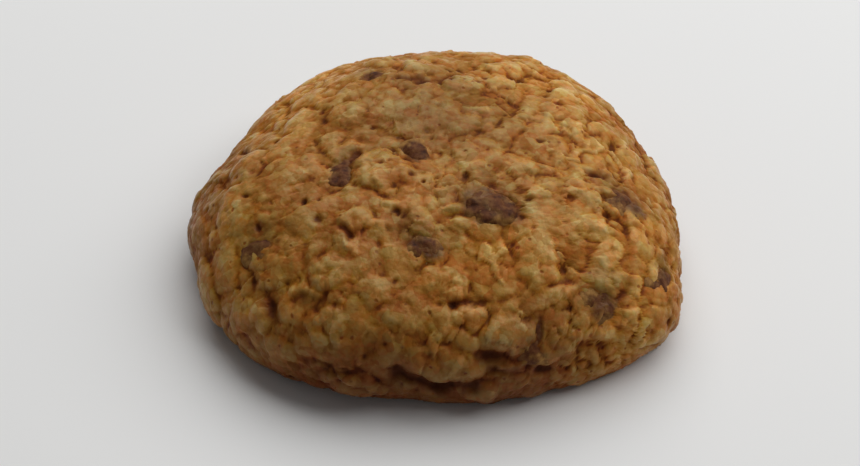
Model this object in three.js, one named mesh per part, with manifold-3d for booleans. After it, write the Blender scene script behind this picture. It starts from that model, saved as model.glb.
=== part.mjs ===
// A thick drop cookie of oatmeal dough with chocolate chips, resting on its flat underside.
// The dough is one solid: a domed pebble with an uneven outline, roughened by lumps, oat flakes and cracks.
// Each chip that shows is a solid of its own, sunk in a pocket of the dough.
// Lengths are in millimetres and angles in degrees. +Z is up and the origin is the centre of the underside.
// A place on the dough is [bearing, fall]. The bearing runs clockwise from the far side, +Y, seen from above.
// The fall runs from 0 at the crown through 90 at the waist, the widest level, and on under the cookie.
import * as THREE from "three";
import { mergeVertices } from "three/addons/utils/BufferGeometryUtils.js";
import Module from "manifold-3d";

// The domed form
const HEIGHT = 23.4; // smooth dome above the underside, before the lumps
const WAIST = 6.0; // level of the widest outline
const BELLY = 8.0; // drop of the form below the waist, before the tray cuts it flat
const SHOULDER = 0.87; // power of the sine above the waist: under 1 flattens the crown
const FOOT = 0.2; // the same below the waist: near 0 keeps the side upright down to the tray
const CROWN = [0.2, -3.4]; // plan position of the crown
// Reach of the waist from the crown at each hour of a clock face, 12 o'clock first
const HOUR_REACH = [40.6, 41.6, 40.1, 38.0, 42.0, 36.9, 33.4, 37.5, 37.6, 39.6, 36.8, 39.9];

// The skin's lift over the smooth form, and the broad unevenness of the dough
const SKIN_LIFT = 0.3;
const SWELL_RISE = 0.35;
const SWELL_LENGTHS = [26, 31, 37, 43]; // wavelengths of the four crossing waves

// Lumps of dough that the photograph shows: length and width, bearing of the length, and rise
const NAMED_LUMPS = [
  { at: [246, 12], size: [12, 9], along: 106, rise: 1.6 },
  { at: [232, 52], size: [9, 8.5], along: 60, rise: 0.8 },
  { at: [227, 72], size: [6, 5], along: 116, rise: 0.7 },
  { at: [178, 78], size: [14, 8], along: 94, rise: 1.3 },
  { at: [161, 64], size: [9, 6.5], along: 86, rise: 1.0 },
  { at: [157, 42], size: [8.5, 8], along: 88, rise: 0.9 },
  { at: [176, 44], size: [8, 7.5], along: 92, rise: 0.9 },
  { at: [142, 39], size: [11, 8], along: 26, rise: 1.0 },
  { at: [142, 54], size: [6.5, 4.5], along: 80, rise: 0.8 },
  { at: [130, 54], size: [5, 4], along: 74, rise: 0.8 },
  { at: [158, 25], size: [8.5, 4.5], along: 101, rise: 0.8 },
  { at: [109, 36], size: [9, 4], along: 103, rise: 0.9 },
  { at: [342, 40], size: [7.5, 6], along: 90, rise: 1.0 },
  { at: [352, 33], size: [9, 5], along: 125, rise: 1.0 },
  { at: [16, 24], size: [7.5, 6], along: 85, rise: 0.9 },
  { at: [28, 40], size: [10, 7], along: 95, rise: 1.2 },
  { at: [267, 30], size: [10, 9.5], along: 20, rise: 0.8 },
  { at: [274, 46], size: [9, 7.5], along: 5, rise: 0.9 },
  { at: [216, 44], size: [7.5, 6], along: 100, rise: 0.9 },
  { at: [200, 46], size: [6.5, 5.5], along: 93, rise: 0.8 },
  { at: [170, 56], size: [6, 4.5], along: 92, rise: 0.9 },
  { at: [172, 66], size: [4.5, 3.5], along: 105, rise: 0.7 },
  { at: [258, 52], size: [7, 6.5], along: 170, rise: 0.6 },
  { at: [218, 19], size: [5.5, 3.5], along: 113, rise: 0.7 },
  { at: [208, 59], size: [6, 4], along: 99, rise: 0.5 },
  { at: [102, 18], size: [9, 5], along: 99, rise: 0.7 },
  { at: [118, 41], size: [5, 4.5], along: 90, rise: 0.7 },
  { at: [307, 24], size: [7, 6.5], along: 104, rise: 0.7 },
  { at: [298, 39], size: [6.5, 5.5], along: 0, rise: 0.7 },
  { at: [208, 72], size: [6.5, 4], along: 103, rise: 0.5 },
  { at: [246, 70], size: [8, 7], along: 35, rise: 0.5 },
  { at: [39, 10], size: [9, 5], along: 86, rise: 0.5 },
  { at: [61, 33], size: [8.5, 6], along: 105, rise: 0.7 },
  { at: [172, 18], size: [7, 4.5], along: 91, rise: 0.5 },
  { at: [168, 99], size: [7, 5], along: 94, rise: 1.1 },
  { at: [201, 96], size: [12, 6], along: 98, rise: 1.6 },
  { at: [248, 90], size: [12, 9], along: 60, rise: 1.4 },
  { at: [138, 74], size: [7.5, 4.5], along: 61, rise: 0.7 },
  { at: [190, 58], size: [7.5, 4.5], along: 94, rise: 0.5 },
  { at: [146, 72], size: [5.5, 4.5], along: 71, rise: 0.7 },
  { at: [219, 26], size: [9, 3.5], along: 97, rise: 0.7 },
  { at: [216, 34], size: [6, 5], along: 80, rise: 0.6 },
];

// Oat flakes that stand out: length and width, and the bearing of the end that tips up
const NAMED_FLAKES = [
  { at: [81, 42], size: [4.9, 2.8], along: 132 },
  { at: [117, 64], size: [4.6, 3.9], along: 57 },
  { at: [130, 70], size: [5.2, 2.2], along: 63 },
  { at: [92, 28], size: [5.0, 3.5], along: 89 },
  { at: [113, 54], size: [4.3, 3.4], along: 115 },
];

// The crowd of smaller lumps and oat flakes that covers the rest
const TOP_LUMPS = 170;
const SIDE_LUMP_FALLS = [80, 96, 112];
const SIDE_LUMPS_PER_ROW = 46;
const LUMP_SIZE = [4.0, 9.0];
const LUMP_ASPECT = [0.7, 1]; // width of a small lump as a share of its length
const LUMP_RISE = [0.15, 0.5];
const TOP_FLAKES = 110;
const SIDE_FLAKE_FALLS = [76, 92, 108];
const SIDE_FLAKES_PER_ROW = 24;
const FLAKE_SIZE = [6.4, 4.8];
const FLAKE_SCALE = [0.7, 1.1];
const FLAKE_LIFT = [0.3, 0.8];
const STRAY = 12; // how far a lump or flake may stray round the dome, as a bearing at the rim
const RING_JITTER = [0.2, 0.8]; // where on its own ring of the sunflower one may lie
const RIM_SHARE = 0.95; // how far out to the waist the sunflower goes
const ROW_JITTER = 0.7; // stray along a row round the side, in places
const ROW_STRAY = 8; // stray up and down the side, as a fall
const LUMP_ROUNDNESS = 0.65; // power of a lump's cap: lower makes a steeper edge
const FLAKE_ROUNDNESS = 0.4;
const COVERED = 0.3; // how far inside a named lump a small one or a flake is left out
const CROWD_SHARPNESS = 4; // higher makes deeper creases where lumps meet

// The clumps that the dough broke into, all over it: like flagstones, each with its own level and lean
const CLUMP_LENGTH = 6.2;
const CLUMP_STEP = 0.95;
const CLUMP_STRETCH = 0.78; // share of the distance along a clump that is not counted, so that it is longer
const CLUMP_LEAN = 1.2;
const CREASE_DEPTH = 1.6;
const CREASE_WIDTH = 0.22; // as a share of the clump's length
const TEAR = { length: 10, mean: 0.12, swing: 1.5 }; // waves in which the creases come and go
const ROUGH = { length: 15, mean: 0.55, swing: 0.3 }; // waves of rougher and smoother areas
const ROUGH_LEAN = [0.0015, 0.006]; // how much rougher the dough gets to the right and to the far side
const ROUGH_RANGE = [0.45, 0.85];

// Cracks between the lumps: the places that each runs through, width and depth
const CRACKS = [
  { through: [[343, 26], [358, 24], [8, 25]], width: 0.9, depth: 0.8 },
  { through: [[250, 22], [262, 18], [272, 15]], width: 1.1, depth: 1.3 },
  { through: [[238, 47], [242, 54], [240, 60], [235, 65]], width: 0.9, depth: 1.5 },
  { through: [[229, 63], [224, 66], [222, 70]], width: 1.3, depth: 0.6 },
  { through: [[190, 82], [179, 91], [170, 89]], width: 1.4, depth: 1.6 },
  { through: [[168, 74], [158, 75]], width: 1.0, depth: 1.1 },
  { through: [[166, 79], [150, 86]], width: 0.8, depth: 0.9 },
  { through: [[132, 34], [136, 40], [138, 46]], width: 0.8, depth: 0.9 },
  { through: [[96, 36], [95, 41]], width: 0.8, depth: 0.9 },
  { through: [[74, 38], [72, 42]], width: 0.7, depth: 0.7 },
  { through: [[234, 33], [224, 31], [216, 30]], width: 0.8, depth: 1.1 },
  { through: [[220, 58], [210, 54], [203, 55]], width: 1.1, depth: 0.5 },
  { through: [[288, 60], [282, 44]], width: 0.6, depth: 0.5 },
  { through: [[304, 33], [298, 29]], width: 0.7, depth: 0.6 },
  { through: [[212, 80], [206, 78]], width: 0.8, depth: 0.6 },
  { through: [[84, 14], [81, 16]], width: 0.6, depth: 0.5 },
  { through: [[174, 52], [166, 52]], width: 0.8, depth: 0.7 },
];

// Chocolate chips: softened drops that lie on their sides, sunk in the dough until a patch of the back shows.
// Each has the length and width of its patch and the level of the patch's rim over the smooth form.
const CHIP_SIZE = [9.0, 7.8, 4.6]; // length, width and depth of a chip
const CHIP_SIDES = 12;
const CHIP_RINGS = 9;
const CHIP_BLUNTNESS = 0.7; // power of the cosine of the outline: under 1 is blunter than an oval
const CHIP_TAPER = 0.2;
const CHIP_GAP = 0.3; // clearance between a chip and its pocket
const APRON = 1.35; // the dough slopes down to a chip from this many times its patch
const CHIPS = [
  { name: "chip_crown", at: [268, 3], along: 160, shows: [4.4, 3.0], rim: -0.1 },
  { name: "chip_large", at: [144, 20], along: 106, shows: [7.8, 5.6], rim: 0.5 },
  { name: "chip_front", at: [184, 32], along: 111, shows: [5.4, 3.0], rim: 0.2 },
  { name: "chip_right", at: [102, 49], along: 98, shows: [6.2, 3.4], rim: 0.6 },
  { name: "chip_lower_right", at: [134, 62], along: 73, shows: [4.2, 3.4], rim: -0.1 },
  { name: "chip_right_edge", at: [114, 71], along: 20, shows: [3.8, 1.8], rim: -0.45 },
  { name: "chip_lower_front", at: [153, 67], along: 2, shows: [3.8, 1.6], rim: 0.3 },
  { name: "chip_far", at: [334, 31], along: 96, shows: [4.4, 2.0], rim: 1.0 },
  { name: "chip_left", at: [241, 51], along: 95, shows: [4.2, 1.5], rim: 0.4 },
  { name: "chip_upper_left", at: [257, 19], along: 26, shows: [3.6, 1.4], rim: -0.3 },
];

// Which repeatable random draw each thing takes
const DRAW = {
  lumpPlace: 1, lumpLength: 11, lumpHeading: 12, lumpWidth: 13, lumpRise: 14,
  flakePlace: 5, flakeHeading: 21, flakeSize: 22, flakeLift: 23,
  clumpSeed: 41, clumpHeading: 44, clumpLevel: 47, clumpLean: 48, tear: 240, rough: 26,
};

// The mesh
const MESH_DETAIL = 20; // subdivisions of the icosahedron that the dough is shaped from
const MESH_DRAW = 0.6; // under 1 draws the mesh up from the underside to the crown
const TRAY_CUT = 120; // side of the block that keeps what is above the tray
const WELD = 1e-4; // corners closer than this are one

const GOLDEN_ANGLE = 180 * (3 - Math.sqrt(5));
const radians = THREE.MathUtils.degToRad;
const lerp = THREE.MathUtils.lerp;
const clamp = THREE.MathUtils.clamp;
const RIPPLE_GAIN = 1.7; // brings the blended slopes to a range of about -1 to 1
const HASH_SLOPES = [12.9898, 78.233, 37.719]; // steps of a sine that never repeats on whole numbers
const HASH_DRAW_SLOPE = 7.13;
const HASH_GAIN = 43758.5453;

// A repeatable number from 0 to 1 for item i and purpose k.
function chance(i, k) {
  const wave = Math.sin(i * HASH_SLOPES[0] + k * HASH_SLOPES[1]) * HASH_GAIN;
  return wave - Math.floor(wave);
}

// Reach of the waist from the crown: a closed Catmull-Rom curve through the twelve hours.
function reach(bearing) {
  const hour = THREE.MathUtils.euclideanModulo(bearing / 30, 12);
  const i = Math.floor(hour);
  const t = hour - i;
  const [a, b, c, d] = [11, 0, 1, 2].map((step) => HOUR_REACH[(i + step) % 12]);
  const bend = (2 * a - 5 * b + 4 * c - d) * t ** 2 + (3 * b - a - 3 * c + d) * t ** 3;
  return 0.5 * (2 * b + (c - a) * t + bend);
}

// The smooth pebble: a squashed superellipse of revolution with the uneven reach.
function basePoint([bearing, fall]) {
  const rise = Math.cos(radians(fall));
  const spread = Math.max(Math.sin(radians(fall)), 0) ** (rise > 0 ? SHOULDER : FOOT) * reach(bearing);
  return new THREE.Vector3(
    CROWN[0] + spread * Math.sin(radians(bearing)),
    CROWN[1] + spread * Math.cos(radians(bearing)),
    WAIST + rise * (rise > 0 ? HEIGHT - WAIST : BELLY),
  );
}

// Outward normal of the pebble, from two short steps along its surface.
function baseNormal([bearing, fall]) {
  const step = 0.5;
  const round = basePoint([bearing + step, fall]).sub(basePoint([bearing - step, fall]));
  const down = basePoint([bearing, fall + step]).sub(basePoint([bearing, fall - step]));
  return round.cross(down).normalize();
}

// A place's own axes: long lies along the compass bearing on the surface, wide crosses it.
function placeFrame(at, along) {
  const normal = baseNormal(at);
  const heading = new THREE.Vector3(Math.sin(radians(along)), Math.cos(radians(along)), 0);
  const long = heading.addScaledVector(normal, -heading.dot(normal)).normalize();
  return { origin: basePoint(at), normal, long, wide: normal.clone().cross(long) };
}

// Distance of a point from a place, counted so that the edge of an oval of that size is at 1.
function ovalDistance(point, frame, [length, width]) {
  const offset = point.clone().sub(frame.origin);
  const u = offset.dot(frame.long) / (length / 2);
  const v = offset.dot(frame.wide) / (width / 2);
  const w = offset.dot(frame.normal) / (width / 2);
  return Math.hypot(u, v, w);
}

// Places spread evenly as on a sunflower over the dome, then in staggered rows round the side.
function spreadPlaces(topCount, sideFalls, perRow, salt) {
  const places = [];
  for (let i = 0; i < topCount; i++) {
    const spread = Math.sqrt((i + lerp(...RING_JITTER, chance(i, salt))) / topCount);
    const fall = THREE.MathUtils.radToDeg(Math.asin((RIM_SHARE * spread) ** (1 / SHOULDER)));
    const stray = (STRAY * (chance(i, salt + 30) - 0.5)) / spread;
    places.push([i * GOLDEN_ANGLE + 10 * salt + stray, fall]);
  }
  sideFalls.forEach((fall, row) => {
    for (let i = 0; i < perRow; i++) {
      const shift = row / sideFalls.length + ROW_JITTER * chance(i + row * perRow, salt + 1);
      places.push([((i + shift) * 360) / perRow, fall + ROW_STRAY * (chance(i, salt + row + 2) - 0.5)]);
    }
  });
  return places;
}

// How far a point is inside an oval at a place: 1 at its middle, 0 at its edge and beyond.
function insideOval(point, { frame, size }) {
  return Math.max(0, 1 - ovalDistance(point, frame, size) ** 2);
}

const namedLumps = NAMED_LUMPS.map((lump) => ({ ...lump, frame: placeFrame(lump.at, lump.along) }));

// Only where no named lump covers the dough.
function isBare({ frame }) {
  return namedLumps.every((lump) => insideOval(frame.origin, lump) < COVERED);
}

const lumpPlaces = spreadPlaces(TOP_LUMPS, SIDE_LUMP_FALLS, SIDE_LUMPS_PER_ROW, DRAW.lumpPlace);
const smallLumps = lumpPlaces.map((at, i) => {
  const length = lerp(...LUMP_SIZE, chance(i, DRAW.lumpLength));
  return {
    frame: placeFrame(at, 360 * chance(i, DRAW.lumpHeading)),
    size: [length, length * lerp(...LUMP_ASPECT, chance(i, DRAW.lumpWidth))],
    rise: lerp(...LUMP_RISE, chance(i, DRAW.lumpRise)),
  };
}).filter(isBare);

const flakePlaces = spreadPlaces(TOP_FLAKES, SIDE_FLAKE_FALLS, SIDE_FLAKES_PER_ROW, DRAW.flakePlace);
const smallFlakes = flakePlaces.map((at, i) => ({
  frame: placeFrame(at, 360 * chance(i, DRAW.flakeHeading)),
  size: FLAKE_SIZE.map((side) => side * lerp(...FLAKE_SCALE, chance(i, DRAW.flakeSize))),
  lift: lerp(...FLAKE_LIFT, chance(i, DRAW.flakeLift)),
})).filter(isBare);

const namedFlakes = NAMED_FLAKES.map((flake) => ({
  ...flake,
  frame: placeFrame(flake.at, flake.along),
  lift: FLAKE_LIFT[1],
}));

const cracks = CRACKS.flatMap(({ through, width, depth }) => {
  const corners = through.map(basePoint);
  return corners.slice(1).map((end, i) => ({ line: new THREE.Line3(corners[i], end), width, depth }));
});

const seats = CHIPS.map((chip) => ({ ...chip, frame: placeFrame(chip.at, chip.along) }));

// A repeatable number from 0 to 1 for a corner of a lattice of cubes, and three of them as a vector.
function cornerChance(corner, k) {
  const travel = corner.x * HASH_SLOPES[0] + corner.y * HASH_SLOPES[1] + corner.z * HASH_SLOPES[2];
  const wave = Math.sin(travel + k * HASH_DRAW_SLOPE) * HASH_GAIN;
  return wave - Math.floor(wave);
}

function cornerVector(corner, k) {
  return new THREE.Vector3(cornerChance(corner, k), cornerChance(corner, k + 1), cornerChance(corner, k + 2));
}

// The corners of the block of cubes round a point, from the first step to the last on each axis.
function cornersRound(cube, first, last) {
  const corners = [];
  for (let x = first; x <= last; x++) {
    for (let y = first; y <= last; y++) {
      for (let z = first; z <= last; z++) corners.push(cube.clone().add(new THREE.Vector3(x, y, z)));
    }
  }
  return corners;
}

// Smooth random waves from about -1 to 1: random slopes at the corners of cubes of that length, blended.
function ripple(point, length, k) {
  const scaled = point.clone().divideScalar(length);
  const cube = scaled.clone().floor();
  const blend = (t) => t ** 3 * (t * (6 * t - 15) + 10);
  return cornersRound(cube, 0, 1).reduce((sum, corner) => {
    const offset = scaled.clone().sub(corner);
    const slope = cornerVector(corner, k).multiplyScalar(2).subScalar(1);
    const weight = offset.toArray().reduce((product, t) => product * blend(1 - Math.abs(t)), 1);
    return sum + RIPPLE_GAIN * weight * offset.dot(slope);
  }, 0);
}

// Broad waves that cross the dough in four directions.
function swell(point) {
  return SWELL_LENGTHS.reduce((sum, length, i) => {
    const heading = radians(i * GOLDEN_ANGLE);
    const travel = point.x * Math.sin(heading) + point.y * Math.cos(heading) + point.z;
    return sum + SWELL_RISE * Math.sin((2 * Math.PI * travel) / length + i);
  }, 0);
}

// A rounded lump: steep at its edge, flat on top.
function lumpRise(point, lump) {
  return lump.rise * insideOval(point, lump) ** LUMP_ROUNDNESS;
}

// An oat flake: a thin oval plate that tips out of the dough along its length.
function flakeRise(point, flake) {
  const tip = point.clone().sub(flake.frame.origin).dot(flake.frame.long) / flake.size[0];
  return Math.max(0, flake.lift * (0.5 + tip)) * insideOval(point, flake) ** FLAKE_ROUNDNESS;
}

// Lumps and flakes side by side: a smooth maximum of all of them, so that creases form where they meet.
function crowdRise(point) {
  let sum = 0;
  for (const lump of [...namedLumps, ...smallLumps]) sum += lumpRise(point, lump) ** CROWD_SHARPNESS;
  for (const flake of [...namedFlakes, ...smallFlakes]) sum += flakeRise(point, flake) ** CROWD_SHARPNESS;
  return sum ** (1 / CROWD_SHARPNESS);
}

// A point belongs to the nearest of random seeds, one in each cube, by a distance that counts less along the
// seed's own direction. Its clump has the seed's level and lean, less the crease at the next clump.
function clumpRise(point) {
  const scaled = point.clone().divideScalar(CLUMP_LENGTH);
  const seeds = cornersRound(scaled.clone().floor(), -1, 1).map((corner) => {
    const offset = scaled.clone().sub(corner).sub(cornerVector(corner, DRAW.clumpSeed));
    const lengthwise = offset.dot(cornerVector(corner, DRAW.clumpHeading).subScalar(0.5).normalize());
    const lean = CLUMP_LEAN * lengthwise * (cornerChance(corner, DRAW.clumpLean) - 0.5);
    return {
      away: Math.sqrt(offset.lengthSq() - CLUMP_STRETCH * lengthwise ** 2),
      level: cornerChance(corner, DRAW.clumpLevel) - 0.5 + lean,
    };
  });
  const [nearest, second] = seeds.sort((a, b) => a.away - b.away);
  const crease = Math.exp(-(second.away - nearest.away) / CREASE_WIDTH);
  const torn = clamp(TEAR.mean + TEAR.swing * ripple(point, TEAR.length, DRAW.tear), 0, 1);
  const unevenness = ROUGH.swing * ripple(point, ROUGH.length, DRAW.rough);
  const slant = point.x * ROUGH_LEAN[0] + point.y * ROUGH_LEAN[1];
  const rough = clamp(ROUGH.mean + unevenness + slant, ...ROUGH_RANGE);
  return rough * (CLUMP_STEP * nearest.level - CREASE_DEPTH * torn * crease);
}

// Level of a chip's back over the rim of its patch: an ellipse's arc, where the rim is at a distance of 1.
function chipBack([length, width], away) {
  const share = (length + width) / (CHIP_SIZE[0] + CHIP_SIZE[1]);
  const arc = Math.sqrt(Math.max(0, 1 - (share * away) ** 2)) - Math.sqrt(1 - share ** 2);
  return (CHIP_SIZE[2] / 2) * arc;
}

// How far the dough gives way to a chip, 1 over its patch and 0 at its apron's edge, and the level there.
function recess(point) {
  return seats.reduce((strongest, { frame, shows, rim }) => {
    const away = ovalDistance(point, frame, shows);
    const share = THREE.MathUtils.smoothstep(APRON - away, 0, APRON - 1);
    return share > strongest.share ? { share, level: rim + Math.max(0, chipBack(shows, away)) } : strongest;
  }, { share: 0, level: 0 });
}

function crackDepth(point) {
  const nearest = new THREE.Vector3();
  return cracks.reduce((depth, { line, width, depth: full }) => {
    line.closestPointToPoint(point, true, nearest);
    return Math.max(depth, full * Math.exp(-((nearest.distanceTo(point) / width) ** 2)));
  }, 0);
}

// Height of the finished surface over the pebble, along its normal.
function relief(point) {
  const { share, level } = recess(point);
  const open = SKIN_LIFT + swell(point) + crowdRise(point) + clumpRise(point) - crackDepth(point);
  return lerp(open, level, share);
}

const wasm = await Module();
wasm.setup();

// A closed geometry as a solid for cutting and joining.
function solidOf(geometry) {
  const bare = geometry.clone().deleteAttribute("normal").deleteAttribute("uv");
  const merged = mergeVertices(bare, WELD);
  return new wasm.Manifold(
    new wasm.Mesh({
      numProp: 3,
      vertProperties: merged.getAttribute("position").array,
      triVerts: new Uint32Array(merged.index.array),
    }),
  );
}

function geometryOf(solid) {
  const { vertProperties, triVerts } = solid.getMesh();
  const geometry = new THREE.BufferGeometry();
  geometry.setAttribute("position", new THREE.BufferAttribute(vertProperties, 3));
  geometry.setIndex(new THREE.BufferAttribute(triVerts, 1));
  geometry.computeVertexNormals();
  return geometry;
}

// The ball of mesh is shaped into the smooth pebble, then pushed out along its normals by the relief.
function doughGeometry() {
  const ball = new THREE.IcosahedronGeometry(1, MESH_DETAIL).deleteAttribute("normal").deleteAttribute("uv");
  const geometry = mergeVertices(ball, WELD);
  const position = geometry.getAttribute("position");
  const point = new THREE.Vector3();
  for (let i = 0; i < position.count; i++) {
    point.fromBufferAttribute(position, i);
    const bearing = THREE.MathUtils.radToDeg(Math.atan2(point.x, point.y));
    const polar = Math.acos(clamp(point.z, -1, 1));
    const fall = 2 * THREE.MathUtils.radToDeg(Math.atan(MESH_DRAW * Math.tan(polar / 2)));
    position.setXYZ(i, ...basePoint([bearing, fall]));
  }
  geometry.computeVertexNormals();
  const normal = geometry.getAttribute("normal");
  const outward = new THREE.Vector3();
  for (let i = 0; i < position.count; i++) {
    point.fromBufferAttribute(position, i);
    outward.fromBufferAttribute(normal, i);
    position.setXYZ(i, ...point.addScaledVector(outward, relief(point)));
  }
  return geometry;
}

// A softened drop of chocolate: a blunt oval that tapers a little to its tip, turned on its axis.
function chipGeometry() {
  const profile = [];
  for (let i = 0; i <= CHIP_RINGS; i++) {
    const along = Math.sin(Math.PI * (i / CHIP_RINGS - 0.5));
    const radius = Math.max(0, 1 - along ** 2) ** (CHIP_BLUNTNESS / 2) * (1 - CHIP_TAPER * along);
    profile.push(new THREE.Vector2(radius, along));
  }
  const widest = Math.max(...profile.map((point) => point.x));
  const [length, width, depth] = CHIP_SIZE.map((size) => size / 2);
  return new THREE.LatheGeometry(profile, CHIP_SIDES).scale(width / widest, length, depth / widest);
}

// A chip lies along its place's long axis, sunk until only its patch shows.
function chipMesh({ name, frame, shows, rim }) {
  const mesh = new THREE.Mesh(chipGeometry(), chocolate);
  mesh.name = name;
  const top = rim + chipBack(shows, 0);
  mesh.position.copy(frame.origin).addScaledVector(frame.normal, top - CHIP_SIZE[2] / 2);
  const axes = new THREE.Matrix4().makeBasis(frame.wide.clone().negate(), frame.long, frame.normal);
  mesh.quaternion.setFromRotationMatrix(axes);
  return mesh;
}

// The pocket that a chip leaves in the dough: the chip, grown by the gap on every side.
function pocketOf(mesh) {
  mesh.updateMatrix();
  const growth = [CHIP_SIZE[1], CHIP_SIZE[0], CHIP_SIZE[2]].map((size) => (size + 2 * CHIP_GAP) / size);
  return solidOf(mesh.geometry.clone().scale(...growth).applyMatrix4(mesh.matrix));
}

const crust = new THREE.MeshStandardMaterial({ name: "baked_dough", color: 0x9a6a38, roughness: 0.85 });
const chocolate = new THREE.MeshStandardMaterial({ name: "chocolate", color: 0x4a2c1c, roughness: 0.5 });

const chips = seats.map(chipMesh);

// The tray cuts the pebble flat at z = 0 and the pockets are cut out of it. Loose shavings are dropped.
function doughMesh() {
  const aboveTray = new THREE.BoxGeometry(TRAY_CUT, TRAY_CUT, TRAY_CUT).translate(0, 0, TRAY_CUT / 2);
  let solid = solidOf(doughGeometry()).intersect(solidOf(aboveTray));
  for (const chip of chips) solid = solid.subtract(pocketOf(chip));
  const [dough] = solid.decompose().sort((a, b) => b.volume() - a.volume());
  const mesh = new THREE.Mesh(geometryOf(dough), crust);
  mesh.name = "dough";
  return mesh;
}

const cookie = new THREE.Group();
cookie.name = "oatmeal_chocolate_chip_cookie";
cookie.add(doughMesh(), ...chips);

export default cookie;
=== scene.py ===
import itertools

import bpy
import numpy as np
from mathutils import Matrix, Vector


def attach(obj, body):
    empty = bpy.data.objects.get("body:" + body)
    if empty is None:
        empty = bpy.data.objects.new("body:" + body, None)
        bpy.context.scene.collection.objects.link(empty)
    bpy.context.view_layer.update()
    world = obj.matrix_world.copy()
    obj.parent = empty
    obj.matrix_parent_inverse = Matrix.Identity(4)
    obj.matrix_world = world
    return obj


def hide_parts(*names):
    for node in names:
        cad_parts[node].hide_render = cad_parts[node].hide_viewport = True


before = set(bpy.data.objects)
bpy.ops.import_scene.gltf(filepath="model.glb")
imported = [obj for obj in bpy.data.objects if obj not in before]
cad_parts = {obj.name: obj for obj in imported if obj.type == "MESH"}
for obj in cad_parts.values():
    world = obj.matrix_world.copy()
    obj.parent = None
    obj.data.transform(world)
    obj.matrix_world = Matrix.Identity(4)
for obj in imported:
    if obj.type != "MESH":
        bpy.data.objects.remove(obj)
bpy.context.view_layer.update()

# The domed form: a scoop of stiff oatmeal dough that slumped on the tray into a thick pebble.
# Its outline is uneven, its crown is nearly flat and its side turns under to a flat underside.
MM = 0.001
HEIGHT = 23.4 * MM
WAIST = 6.0 * MM
BELLY = 8.0 * MM
SHOULDER = 0.87
FOOT = 0.2
CROWN = np.array([0.2, -3.4]) * MM
HOUR_REACH = np.array([40.6, 41.6, 40.1, 38.0, 42.0, 36.9, 33.4, 37.5, 37.6, 39.6, 36.8, 39.9]) * MM
NORMAL_STEP = np.radians(0.5)


def reach(bearing):
    """Reach of the widest outline from the crown: a closed Catmull-Rom curve through twelve clock hours."""
    hour = np.mod(np.degrees(bearing) / 30, 12)
    start = np.floor(hour).astype(int)
    t = hour - start
    a, b, c, d = (HOUR_REACH[(start + step) % 12] for step in (11, 0, 1, 2))
    return 0.5 * (2 * b + (c - a) * t + (2 * a - 5 * b + 4 * c - d) * t**2 + (3 * b - a - 3 * c + d) * t**3)


def dome(bearing, fall):
    """The point of the smooth pebble at a place: a compass bearing and a fall, the angle down from the
    crown. Its spread is the reach times a power of the fall's sine. Its level follows the fall's cosine,
    with a tall half above the waist and a short one below."""
    rise = np.cos(fall)
    spread = reach(bearing) * np.maximum(np.sin(fall), 0) ** np.where(rise > 0, SHOULDER, FOOT)
    level = WAIST + rise * np.where(rise > 0, HEIGHT - WAIST, BELLY)
    return np.stack([CROWN[0] + spread * np.sin(bearing), CROWN[1] + spread * np.cos(bearing), level], -1)


def unit(vectors):
    """The vectors, each divided by its length."""
    return vectors / np.linalg.norm(vectors, axis=-1, keepdims=True)


def place_axes(place, along):
    """A place's origin and its own axes: long follows the compass bearing along the surface, wide crosses
    it and the third is the outward normal, the cross product of short steps round and down the pebble."""
    bearing, fall = np.radians(place)
    origin = dome(bearing, fall)
    step_round = dome(bearing + NORMAL_STEP, fall) - dome(bearing - NORMAL_STEP, fall)
    step_down = dome(bearing, fall + NORMAL_STEP) - dome(bearing, fall - NORMAL_STEP)
    normal = unit(np.cross(step_round, step_down))
    heading = np.array([np.sin(np.radians(along)), np.cos(np.radians(along)), 0])
    long = unit(heading - normal * (heading @ normal))
    return origin, np.stack([long, np.cross(normal, long), normal])


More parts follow.
